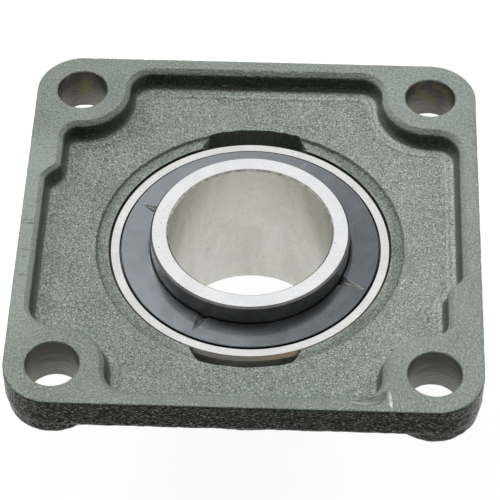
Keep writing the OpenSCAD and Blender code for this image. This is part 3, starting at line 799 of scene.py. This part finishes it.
def slot_plug(side):
    """One of the two slots through which the insert is loaded, to be cut."""
    half = math.degrees(math.asin(SLOT_HALF / SLOT_R))
    foot = SLOT_HALF + SLOT_FLARE
    corners = arc(0, 0, SLOT_R, 90 - half, 90 + half, SLOT_STEPS)
    corners[0], corners[-1] = (*corners[0][:2], SLOT_CORNER), (*corners[-1][:2], SLOT_CORNER)
    outline = rounded(corners + [(-foot, SLOT_INNER, 0), (foot, SLOT_INNER, 0)])
    outline = even(outline, outline)
    levels = np.linspace(LAND_Z + 3 * OVER, CENTRE_Z, SLOT_LEVELS)
    return skin("slot_plug", [waved(outline, z, SLOT_WAVE, side) for z in levels], [])


def seat_plug():
    """The ball-shaped seat of the insert with its relief, to be cut."""
    low = math.degrees(math.asin((RELIEF_Z - CENTRE_Z) / SEAT_R))
    high = math.degrees(math.asin((LAND_Z + 2 * OVER - CENTRE_Z) / SEAT_R))
    side = arc(0, CENTRE_Z, SEAT_R, high, low, SEAT_STEPS)
    end = HUB_FRONT - 2 * OVER
    profile = [(AXIS_R, side[0][1], 0)] + side
    profile += [(RELIEF_R, RELIEF_Z, 0), (RELIEF_R, end, 0), (AXIS_R, end, 0)]
    return turned("seat_plug", profile, [], closed=False)


def bolt_plug(x, y, r, top, bottom, flare=0.0):
    """A round plug through the flange, wider above the mounting face where it has a flare."""
    profile = [(AXIS_R, top, 0), (r + flare, top, 0), (r + flare, 0, 0), (r, -flare, 0)]
    profile += [(r, bottom, 0), (AXIS_R, bottom, 0)]
    plug = turned("bolt_plug", profile, [], 0, HOLE_SEGMENTS, closed=False)
    plug.data.transform(Matrix.Translation((x, y, 0)))
    return plug


def nipple_plug():
    """The tapped hole of the grease nipple, to be cut."""
    foot = -NIPPLE_SHANK - NIPPLE_SPARE
    plug = rod("nipple_plug", NIPPLE_R + NIPPLE_GAP, 2 * OVER, foot, HOLE_SEGMENTS // 2)
    plug.data.transform(nipple_frame())
    return plug


def nick_plug(x):
    """A small chip out of the flange's edge towards +Y, to be cut."""
    return bolt_plug(x, FLANGE_HALF + NICK_R - NICK_DEEP, NICK_R, 2 * OVER, -NICK_H)


def bolt_places():
    return [(x * BOLT_HALF, y * BOLT_HALF) for x in (-1, 1) for y in (-1, 1)]


def fillings():
    """Solids that close the casting's hollows, so that these can be cut anew with crisp edges."""
    plate = flange_loft("plate", PLATE_LEVELS)
    top, slot_z = LAND_Z + OVER, CENTRE_Z - 2 * OVER
    wide, narrow = SLOT_R + FILL_WALL, SEAT_R + SEAT_WALL
    profile = [(AXIS_R, top, 0), (wide, top, 0), (wide, slot_z, 0), (narrow, slot_z, 0)]
    profile += [(narrow, RELIEF_Z, 0), (AXIS_R, RELIEF_Z, 0)]
    core = turned("core", profile, [], closed=False)
    bolts = [bolt_plug(x, y, BOLT_R + FILL_WALL, top, BOSS_FRONT) for x, y in bolt_places()]
    return [plate, core, *bolts]


def vectors(items, name):
    """One vector of each vertex or face of a mesh, as rows."""
    values = np.empty(len(items) * 3)
    items.foreach_get(name, values)
    return values.reshape(-1, 3)


def square_reach(points):
    """How far points lie from the shaft along X or Y, whichever is more."""
    return np.maximum(abs(points[:, 0]), abs(points[:, 1]))


def in_recess(points, normals):
    """1 on the rough floor of the recess, 0 on the rim, the pads and the outside."""
    deep = smooth_step(*ROUGH_DEPTHS, -points[:, 2])
    inside = square_reach(points) < RECESS_HALF
    return deep * inside * smooth_step(0.2, 0.8, normals[:, 2])


def in_painted_shade(points, normals):
    """Where shade is painted: 1 on the wall of the recess below its chamfered edge and on the flange's
    rounded edge towards -Y, less on the edge of the land, 0 elsewhere."""
    z = points[:, 2]
    deep = smooth_step(0.85 * RIM_EDGE, 1.15 * RIM_EDGE, -z)
    deep *= 1 - smooth_step(RECESS_DEPTH - 0.7 * MM, RECESS_DEPTH - 0.3 * MM, -z)
    inside = square_reach(points) < RECESS_HALF + RIM_EDGE
    slope = np.hypot(normals[:, 0], normals[:, 1])
    from_land = abs(np.hypot(points[:, 0], points[:, 1]) - LAND_R)
    land_edge = (from_land < LAND_STEP) * (z < LAND_Z + OVER) * smooth_step(0.1, 0.5, slope)
    rounding = (z > -1.2 * EDGE_R) * smooth_step(0.12, 0.4, -normals[:, 1])
    rounding *= square_reach(points) > RECESS_HALF + 2 * RIM_EDGE
    wall = np.maximum(deep * inside * smooth_step(0.3, 0.55, slope), rounding)
    return np.maximum(wall, LAND_PAINTED_SHADE * land_edge)


def on_bead(points, normals):
    """1 on the bead at the foot of the recess's wall, where glints are painted, 0 elsewhere."""
    z = points[:, 2]
    inside = square_reach(points) < RECESS_HALF
    high = smooth_step(-RECESS_DEPTH - 0.08 * MM, -RECESS_DEPTH + 0.12 * MM, z)
    return high * inside * (z < -RECESS_DEPTH + OVER) * smooth_step(*STEEP, normals[:, 2])


def casting():
    """The housing: the CAD solid with its hollows filled, softened on a grid, roughened and cut anew."""
    piece = add_object("housing_casting", frame["nodes"]["housing"].data.copy())
    weld = piece.modifiers.new("weld", "WELD")
    weld.merge_threshold = 1e-6
    plugs = fillings()
    for plug in plugs:
        add = piece.modifiers.new("fill", "BOOLEAN")
        add.operation = "UNION"
        add.solver = "EXACT"
        add.object = plug
    settle(piece)
    for plug in plugs:
        bpy.data.objects.remove(plug)
    grid = piece.modifiers.new("grid", "REMESH")
    grid.mode = "VOXEL"
    grid.voxel_size = VOXEL
    soft = piece.modifiers.new("soft", "SMOOTH")
    soft.factor = 0.5
    soft.iterations = 3
    settle(piece)
    roughen(piece.data)
    cut(piece, top_slab(), edge_plug(), recess_plug(), land_plug(),
        slot_plug(1), slot_plug(-1), seat_plug(), nipple_plug())
    end = BOSS_FRONT - 2 * OVER
    cut(piece, *[bolt_plug(x, y, BOLT_R, 2 * OVER, end, HOLE_EDGE) for x, y in bolt_places()])
    cut(piece, *[nick_plug(x) for x in NICK_PLACES])
    paint_casting(piece.data)
    stands_for(piece, "housing", "housing")


def roughen(mesh):
    """Gives the smooth outside of the casting the waves and the peel of painted cast iron."""
    points, normals = vectors(mesh.vertices, "co"), vectors(mesh.vertex_normals, "vector")
    wave_size, wave_deep = OUTSIDE_WAVE
    peel_size, peel_deep = OUTSIDE_PEEL
    waves = np.array([noise.noise(Vector(p) / wave_size) for p in points])
    peel = np.array([noise.noise(Vector(p) / peel_size) for p in points * PEEL_SQUASH])
    rise = (wave_deep * waves + peel_deep * peel - OUTSIDE_DROP) * MM
    points += normals * np.minimum(rise, 0)[:, None]
    mesh.vertices.foreach_set("co", points.ravel())
    mesh.update()


def paint_casting(mesh):
    """Gives the casting its finishes, and the values that the paint's shader reads at each vertex."""
    finishes = (PAINT, HOLE_WALL, SEAT_STEEL)
    mesh.materials.clear()
    for m in finishes:
        mesh.materials.append(m)
    centres = vectors(mesh.polygons, "center")
    kinds = np.zeros(len(centres), dtype=np.int32)
    for x, y in bolt_places():
        from_bolt = np.hypot(centres[:, 0] - x, centres[:, 1] - y)
        kinds[from_bolt < BOLT_R + NEAR_HOLE] = finishes.index(HOLE_WALL)
    from_centre = np.linalg.norm(centres - np.array((0, 0, CENTRE_Z)), axis=1)
    kinds[abs(from_centre - SEAT_R) < NEAR_SEAT] = finishes.index(SEAT_STEEL)
    mesh.polygons.foreach_set("material_index", kinds)
    points, normals = vectors(mesh.vertices, "co"), vectors(mesh.vertex_normals, "vector")
    attributes = {
        "cast": in_recess(points, normals),
        "steep": smooth_step(*STEEP, np.hypot(normals[:, 0], normals[:, 1])),
        "shade": in_painted_shade(points, normals),
        "bead": on_bead(points, normals),
    }
    for name, values in attributes.items():
        mesh.attributes.new(name, "FLOAT", "POINT").data.foreach_set("value", values.astype(np.float32))
    finish_mesh(mesh, CAST_SHARP)


casting()


# Paint that ran together beside one corner pad: a dark pool and a ridge whose pale colour is a painted
# highlight
RUN_POOL = [(31.5, -66.3, 0.2), (34, -66.5, 0.9), (36.5, -66.3, 1.3),
            (38.8, -65.5, 1.5), (40.4, -64.1, 1.1), (41.6, -62.2, 0.2)]
RUN_RIDGE = [(42.2, -62.4, 0.1), (42.6, -63.6, 0.45), (42.7, -65.4, 0.6),
             (42.8, -67, 0.5), (43.1, -68.5, 0.1)]
RUN_SUNK = 0.2 * MM
RUN_SIDES = 16


def paint_run(name, line, height, material):
    """A low rounded ridge on the mounting face along points (x, y, half width) in millimetres."""
    rings = []
    for i, (x, y, half) in enumerate(line):
        before, after = line[max(i - 1, 0)], line[min(i + 1, len(line) - 1)]
        ahead = Vector((after[0] - before[0], after[1] - before[1], 0)).normalized()
        side = ahead.cross(Vector((0, 0, 1)))
        share = half / max(w for _, _, w in line)
        ring = []
        for turn in turns(RUN_SIDES):
            up = math.sin(turn)
            place = Vector((x, y, 0)) * MM + side * half * MM * math.cos(turn)
            ring.append((place.x, place.y, up * (height * share if up > 0 else RUN_SUNK)))
        rings.append(ring)
    piece = skin(name, rings, [material])
    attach(piece, "housing")


paint_run("paint_pool", RUN_POOL, height=0.1 * MM, material=POOL)
paint_run("paint_ridge_painted_highlight", RUN_RIDGE, height=0.22 * MM, material=PAINTED_HIGHLIGHT_RIDGE)


# Rings of the insert
SIDE_STEPS = 28
RACE_STEPS = 12
NEAR_SEAL = 0.05 * MM
NEAR_BORE = 0.1 * MM
FLAT_NORMAL = 0.9


def outer_ring():
    """Round outside, bevelled faces, steps for the seals and the race."""
    face_r = math.sqrt(INSERT_R ** 2 - RING_HALF ** 2) - FACE_BEVEL
    seal_r = face_r - RING_FACE
    shoulder_r = seal_r - SEAL_SHOULDER
    race_mid = PITCH_R + RACE_DEEP - RACE_R
    race_half = math.degrees(math.acos((shoulder_r - race_mid) / RACE_R))
    reach = face_r + RING_HALF
    bevel_z = (reach - math.sqrt(2 * INSERT_R ** 2 - reach ** 2)) / 2
    side = math.degrees(math.asin(bevel_z / INSERT_R))
    back = [(shoulder_r, SEAL_IN, 0), (seal_r, SEAL_IN, 0), (seal_r, RING_HALF, 0), (face_r, RING_HALF, 0)]
    front = [(x, -y, r) for x, y, r in reversed(back)]
    profile = back + arc(0, 0, INSERT_R, side, -side, SIDE_STEPS) + front
    profile += arc(race_mid, 0, RACE_R, -race_half, race_half, RACE_STEPS)
    finishes = [OUTER_FACE, OUTSIDE_STEEL_PAINTED_LIGHT, BEVEL_STEEL, SEAL_GROOVE_SHADE]
    piece = turned("outer_ring_turned", profile, finishes, CENTRE_Z, sharp=RING_SHARP)
    for face in piece.data.polygons:
        r = math.hypot(face.center.x, face.center.y)
        if r < seal_r + NEAR_SEAL:
            # Faces inside the seals take the near-black painted shade
            finish = SEAL_GROOVE_SHADE
        elif r < face_r:
            finish = OUTER_FACE
        else:
            # The round outside takes the lightened steel, painted light; the bevel takes its own finish
            finish = BEVEL_STEEL if abs(face.center.z - CENTRE_Z) > bevel_z else OUTSIDE_STEEL_PAINTED_LIGHT
        face.material_index = finishes.index(finish)
    stands_for(piece, "outer_ring", "insert_outer")


def screw_plug(node):
    """The hole of a set screw, to be cut."""
    plug = rod("screw_plug", SCREW_HOLE_R, INNER_R + 3 * OVER, BORE_R - 3 * OVER, HOLE_SEGMENTS)
    plug.data.transform(screw_frame(node))
    return plug


def inner_ring():
    """Chamfered ring with the bore, the race and the holes of the set screws."""
    race_mid = PITCH_R - RACE_DEEP + RACE_R
    half = math.degrees(math.acos((race_mid - INNER_R) / RACE_R))
    back, front = INNER_BACK - CENTRE_Z, INNER_FRONT - CENTRE_Z
    ends = [(BORE_R, back - CHAMFER, 0), (BORE_R + CHAMFER, back, 0),
            (INNER_R - CHAMFER, back, 0), (INNER_R, back - CHAMFER, 0)]
    other = [(INNER_R, front + CHAMFER, 0), (INNER_R - CHAMFER, front, 0),
             (BORE_R + CHAMFER, front, 0), (BORE_R, front + CHAMFER, 0)]
    profile = ends + arc(race_mid, 0, RACE_R, 180 - half, 180 + half, RACE_STEPS) + other
    finishes = [INNER_FACE, SIDE_STEEL_PAINTED_SHADE, BORE_STEEL, CHAMFER_STEEL]
    piece = turned("inner_ring_turned", profile, finishes, CENTRE_Z)
    cut(piece, *[screw_plug(node) for node in SCREWS])
    finish_mesh(piece.data, RING_SHARP)
    for face in piece.data.polygons:
        r = math.hypot(face.center.x, face.center.y)
        at_end = not INNER_FRONT + CHAMFER / 2 < face.center.z < INNER_BACK - CHAMFER / 2
        if at_end and abs(face.normal.z) > FLAT_NORMAL:
            finish = INNER_FACE
        elif r > (BORE_R + INNER_R) / 2:
            # The outside takes the darkened steel, a painted shade
            finish = SIDE_STEEL_PAINTED_SHADE
        else:
            finish = BORE_STEEL if r < BORE_R + NEAR_BORE else CHAMFER_STEEL
        face.material_index = finishes.index(finish)
    stands_for(piece, "inner_ring", "insert_inner")


outer_ring()
inner_ring()


# Flingers: sheet discs with a rolled inner edge and pressed grooves
SHEET_T = 0.8 * MM
ROLL_W = 0.9 * MM
ROLL_H = 0.8 * MM
ROLL_CURVE = ((0, 1), (0.12, 0.55), (0.4, 0.2), (1, 0))
GROOVES = 4
GROOVE_ANGLE = math.radians(65)
GROOVE_HALF = 1.7 * MM
GROOVE_DEEP = 0.9 * MM
GROOVE_MARGIN = 1.2 * MM
GROOVE_ROUND = 0.6
CREASE_NORMALS = (0.3, 0.9995)
FLINGER_GAP = 0.02 * MM
FLINGER_EDGE = 0.2 * MM
FLINGER_RADII = 16
FLINGER_STEPS = 720
NEAR_SHEET = 0.01 * MM


def groove_side(angle):
    """The turn from the middle of the nearest groove."""
    pitch = 2 * math.pi / GROOVES
    return (angle - GROOVE_ANGLE + pitch / 2) % pitch - pitch / 2


def groove_depth(r, angle):
    """How deep the pressed grooves are at a place on the disc."""
    inner, apex = INNER_R + ROLL_W, FLINGER_R - GROOVE_MARGIN
    share = min(max((apex - r) / (apex - inner), 0), 1)
    across = abs(groove_side(angle)) * r
    if share * GROOVE_HALF <= across:
        return 0.0
    slope = 1 - across / (share * GROOVE_HALF)
    return GROOVE_DEEP * share * slope * (1 + GROOVE_ROUND - GROOVE_ROUND * slope)


def flinger(name, node, side):
    """A disc with its rolled inner edge, its outer edge and its underside, pressed down in the grooves."""
    inner, top = INNER_R + FLINGER_GAP, FLINGER_FACE
    under = top - SHEET_T
    profile = [(inner + SHEET_T, under - GROOVE_DEEP), (inner, under - GROOVE_DEEP)]
    profile += [(inner + ROLL_W * out, top - ROLL_H * down) for out, down in ROLL_CURVE]
    radii = np.linspace(inner + ROLL_W, FLINGER_R - FLINGER_EDGE, FLINGER_RADII)[1:]
    profile += [(r, top) for r in radii]
    profile += [(FLINGER_R, top - FLINGER_EDGE), (FLINGER_R, under)]
    profile += [(r, under) for r in reversed(radii[:-1])]
    profile += [(inner + SHEET_T, under)]
    rings = []
    for r, z in profile:
        pressed = z > under - NEAR_SHEET
        ring = []
        for a in turns(FLINGER_STEPS):
            down = groove_depth(max(r, INNER_R + ROLL_W), a) if pressed else 0.0
            ring.append((r * math.cos(a), r * math.sin(a) * side, (z - down) * side + CENTRE_Z))
        rings.append(ring)
    finishes = [COAT, CREASE_SHADE_COOL, CREASE_SHADE_WARM]
    piece = skin(name, rings, finishes, closed=True, sharp=FLINGER_SHARP)
    for face in piece.data.polygons:
        x, y, _ = face.center
        r, angle = math.hypot(x, y), math.atan2(y * side, x)
        on_disc = INNER_R + ROLL_W < r < FLINGER_R - GROOVE_MARGIN / 2
        # The grooves' sloping faces take the painted shade, cool on one side and warm on the other
        if on_disc and CREASE_NORMALS[0] < face.normal.z * side < CREASE_NORMALS[1]:
            face.material_index = finishes.index(CREASE_SHADE_COOL if groove_side(angle) < 0 else CREASE_SHADE_WARM)
            face.use_smooth = False
    stands_for(piece, node, "insert_inner")


flinger("flinger_back_pressed", "flinger_back", 1)
flinger("flinger_front_pressed", "flinger_front", -1)


# Set screws and grease nipple, with threads and hexagons
THREAD_DEEP = 0.55
THREAD_CREST = 0.15
THREAD_FLANK = 0.65
THREAD_RINGS = 10
SCREW_PITCH = 1.25 * MM
PIT_R = 0.02 * MM
NIPPLE_PITCH = 1 * MM
NIPPLE_AF = 8 * MM
NIPPLE_HOLE_R = 0.6 * MM
HEX_H = 3.2 * MM
NECK_R = 2.1 * MM
NECK_DOWN = 3.6 * MM
HEAD_R = 3.2 * MM

# Millimetres down from the tip and in from the head, and up from the hexagon and out from the neck
HEAD_CURVE = ((0, 1.3), (0.25, 0.7), (0.7, 0.25), (1.4, 0), (2.2, 0), (2.5, 0.2))
NECK_CURVE = ((0.6, 0), (0.15, 0.3), (0, 0.8))


def hexagon(turn, across):
    """Distance of a hexagon's side from its middle, in one direction."""
    return across / 2 / math.cos(turn % (math.pi / 3) - math.pi / 6)


def rings_at(*places):
    """A ring of points at each (height, radius). Both are numbers or depend on the turn."""
    rings = []
    for height, radius in places:
        ring = []
        for turn in turns(HOLE_SEGMENTS):
            r = radius(turn) if callable(radius) else radius
            z = height(turn) if callable(height) else height
            ring.append((r * math.cos(turn), r * math.sin(turn), z))
        rings.append(ring)
    return rings


def thread(top, bottom, r, pitch):
    """Rings down a screw thread, which fades out at both ends."""
    deep, rings = THREAD_DEEP * pitch, []
    count = round((top - bottom) / pitch * THREAD_RINGS)
    for k in range(count + 1):
        z = top + (bottom - top) * k / count
        fade = min(1, (top - z) / pitch, (z - bottom) / pitch)

        def radius(turn):
            phase = (z / pitch - turn / (2 * math.pi)) % 1
            valley = min(max((abs(2 * phase - 1) - THREAD_CREST) / THREAD_FLANK, 0), 1)
            return r - deep * fade * valley
        rings += rings_at((z, radius))
    return rings


def set_screw(name, node):
    """Cup-point screw with a hexagon socket."""
    edge, point, cup, drill = 0.8 * MM, 1.2 * MM, 1 * MM, 0.6 * MM
    mouth, mouth_slope = 0.59 * SOCKET_AF, 0.8
    head = SCREW_TIP + SCREW_LEN
    floor = head - SCREW_LEN / 2

    def flats(turn):
        return hexagon(turn, SOCKET_AF)

    def mouth_edge(turn):
        return head - (mouth - flats(turn)) * mouth_slope
    rings = rings_at(
        (floor - drill, PIT_R), (floor, flats), (mouth_edge, flats), (head, mouth), (head, SCREW_R - edge),
    )
    rings += thread(head - edge, SCREW_TIP + point, SCREW_R, SCREW_PITCH)
    rings += rings_at((SCREW_TIP, SCREW_R - point), (SCREW_TIP, SCREW_R / 2), (SCREW_TIP + cup, PIT_R))
    piece = skin(name, rings, [OXIDE])
    piece.data.transform(screw_frame(node))
    stands_for(piece, node, node)


def grease_nipple():
    """Threaded shank, hexagon with turned edges, neck and head around the check ball's chamber."""
    tip, taper, ledge = NIPPLE_LEN, 0.6 * MM, 0.2 * MM
    turned_r, turned_slope = 0.485 * NIPPLE_AF, 0.5

    def flats(turn):
        return hexagon(turn, NIPPLE_AF)

    def low_edge(turn):
        return turned_slope * (flats(turn) - turned_r)

    def high_edge(turn):
        return HEX_H - low_edge(turn)
    head = [(tip - down * MM, HEAD_R - back * MM) for down, back in HEAD_CURVE]
    neck = [(HEX_H + up * MM, NECK_R + out * MM) for up, out in NECK_CURVE]
    rings = rings_at(
        (tip, MOUTH_R), *head, (tip - NECK_DOWN, NECK_R), *neck, (HEX_H, turned_r),
        (high_edge, flats), (low_edge, flats), (0, turned_r), (0, NIPPLE_R + ledge),
    )
    rings += thread(0, taper - NIPPLE_SHANK, NIPPLE_R, NIPPLE_PITCH)
    rings += rings_at(
        (-NIPPLE_SHANK, NIPPLE_R - taper), (-NIPPLE_SHANK, NIPPLE_HOLE_R),
        (CHAMBER_FOOT, NIPPLE_HOLE_R), (CHAMBER_FOOT, CHAMBER_R),
        (CHAMBER_TOP - CHAMBER_R + MOUTH_R, CHAMBER_R), (CHAMBER_TOP, MOUTH_R),
    )
    piece = skin("grease_nipple_turned", rings, [ZINC], closed=True)
    piece.data.transform(nipple_frame())
    stands_for(piece, "grease_nipple", "housing")


for screw in SCREWS:
    set_screw(screw + "_threaded", screw)
grease_nipple()


# Finishes of the CAD nodes that show as they are
def dress(material, *nodes):
    for node in nodes:
        mesh = frame["nodes"][node].data
        mesh.materials.clear()
        mesh.materials.append(material)


dress(CHROME, "nipple_ball", *[n for n in frame["nodes"] if n.startswith("ball_")])
dress(SHEET, "cage_back", "cage_front", "cage_rivets")
dress(SEAL_SHEET, "seal_plate_back", "seal_plate_front")
dress(RUBBER, "seal_lip_back", "seal_lip_front")
dress(WIRE, "nipple_spring")


# Stage: pale floor, white surroundings and soft lamps
AMBIENT = 0.025
FLOOR_HALF = 3.0
FLOOR_GLOW = 0.95


def seen_directly(nodes, links):
    """1 for rays from the camera and for those mirrored or let through, 0 for soft light."""
    path = nodes.new("ShaderNodeLightPath")
    total = path.outputs["Is Camera Ray"]
    for name in ("Is Glossy Ray", "Is Transmission Ray"):
        add = nodes.new("ShaderNodeMath")
        add.operation = "MAXIMUM"
        links.new(total, add.inputs[0])
        links.new(path.outputs[name], add.inputs[1])
        total = add.outputs[0]
    return total


def make_world():
    world = bpy.data.worlds.new("studio")
    bpy.context.scene.world = world
    world.use_nodes = True
    nodes, links = world.node_tree.nodes, world.node_tree.links
    mix = nodes.new("ShaderNodeMix")
    mix.data_type = "RGBA"
    mix.inputs[MIX_A].default_value = (AMBIENT, AMBIENT, AMBIENT, 1)
    mix.inputs[MIX_B].default_value = (1, 1, 1, 1)
    links.new(seen_directly(nodes, links), mix.inputs[0])
    links.new(mix.outputs[MIX_RESULT], nodes["Background"].inputs["Color"])


def make_floor():
    mesh = bpy.data.meshes.new("floor")
    corners = [(-1, -1), (1, -1), (1, 1), (-1, 1)]
    mesh.from_pydata([(x * FLOOR_HALF, y * FLOOR_HALF, FLOOR_Z) for x, y in corners], [], [(0, 1, 2, 3)])
    floor = add_object("floor", mesh)
    material = bpy.data.materials.new("floor")
    material.use_nodes = True
    nodes, links = material.node_tree.nodes, material.node_tree.links
    nodes.remove(nodes["Principled BSDF"])
    soft, pale = nodes.new("ShaderNodeBsdfDiffuse"), nodes.new("ShaderNodeBsdfDiffuse")
    soft.inputs["Color"].default_value = (0.04, 0.04, 0.04, 1)
    pale.inputs["Color"].default_value = (0.14, 0.14, 0.14, 1)
    glow = nodes.new("ShaderNodeEmission")
    glow.inputs["Strength"].default_value = FLOOR_GLOW
    both, mix = nodes.new("ShaderNodeAddShader"), nodes.new("ShaderNodeMixShader")
    links.new(pale.outputs[0], both.inputs[0])
    links.new(glow.outputs[0], both.inputs[1])
    links.new(seen_directly(nodes, links), mix.inputs[0])
    links.new(soft.outputs[0], mix.inputs[1])
    links.new(both.outputs[0], mix.inputs[2])
    links.new(mix.outputs[0], nodes["Material Output"].inputs["Surface"])
    mesh.materials.append(material)


def make_lamp(name, place, size, watts):
    data = bpy.data.lights.new(name, "AREA")
    data.size = size
    data.energy = watts
    lamp = add_object(name, data)
    lamp.location = place
    lamp.rotation_euler = (-Vector(place)).to_track_quat("-Z", "Y").to_euler()


make_world()
make_floor()
make_lamp("overhead", (-0.12, 0.34, 0.94), size=0.32, watts=8.2)
make_lamp("key", (-0.65, 0.55, 0.65), size=0.35, watts=4.5)
make_lamp("right", (0.7, 0.35, 0.55), size=0.25, watts=2.4)
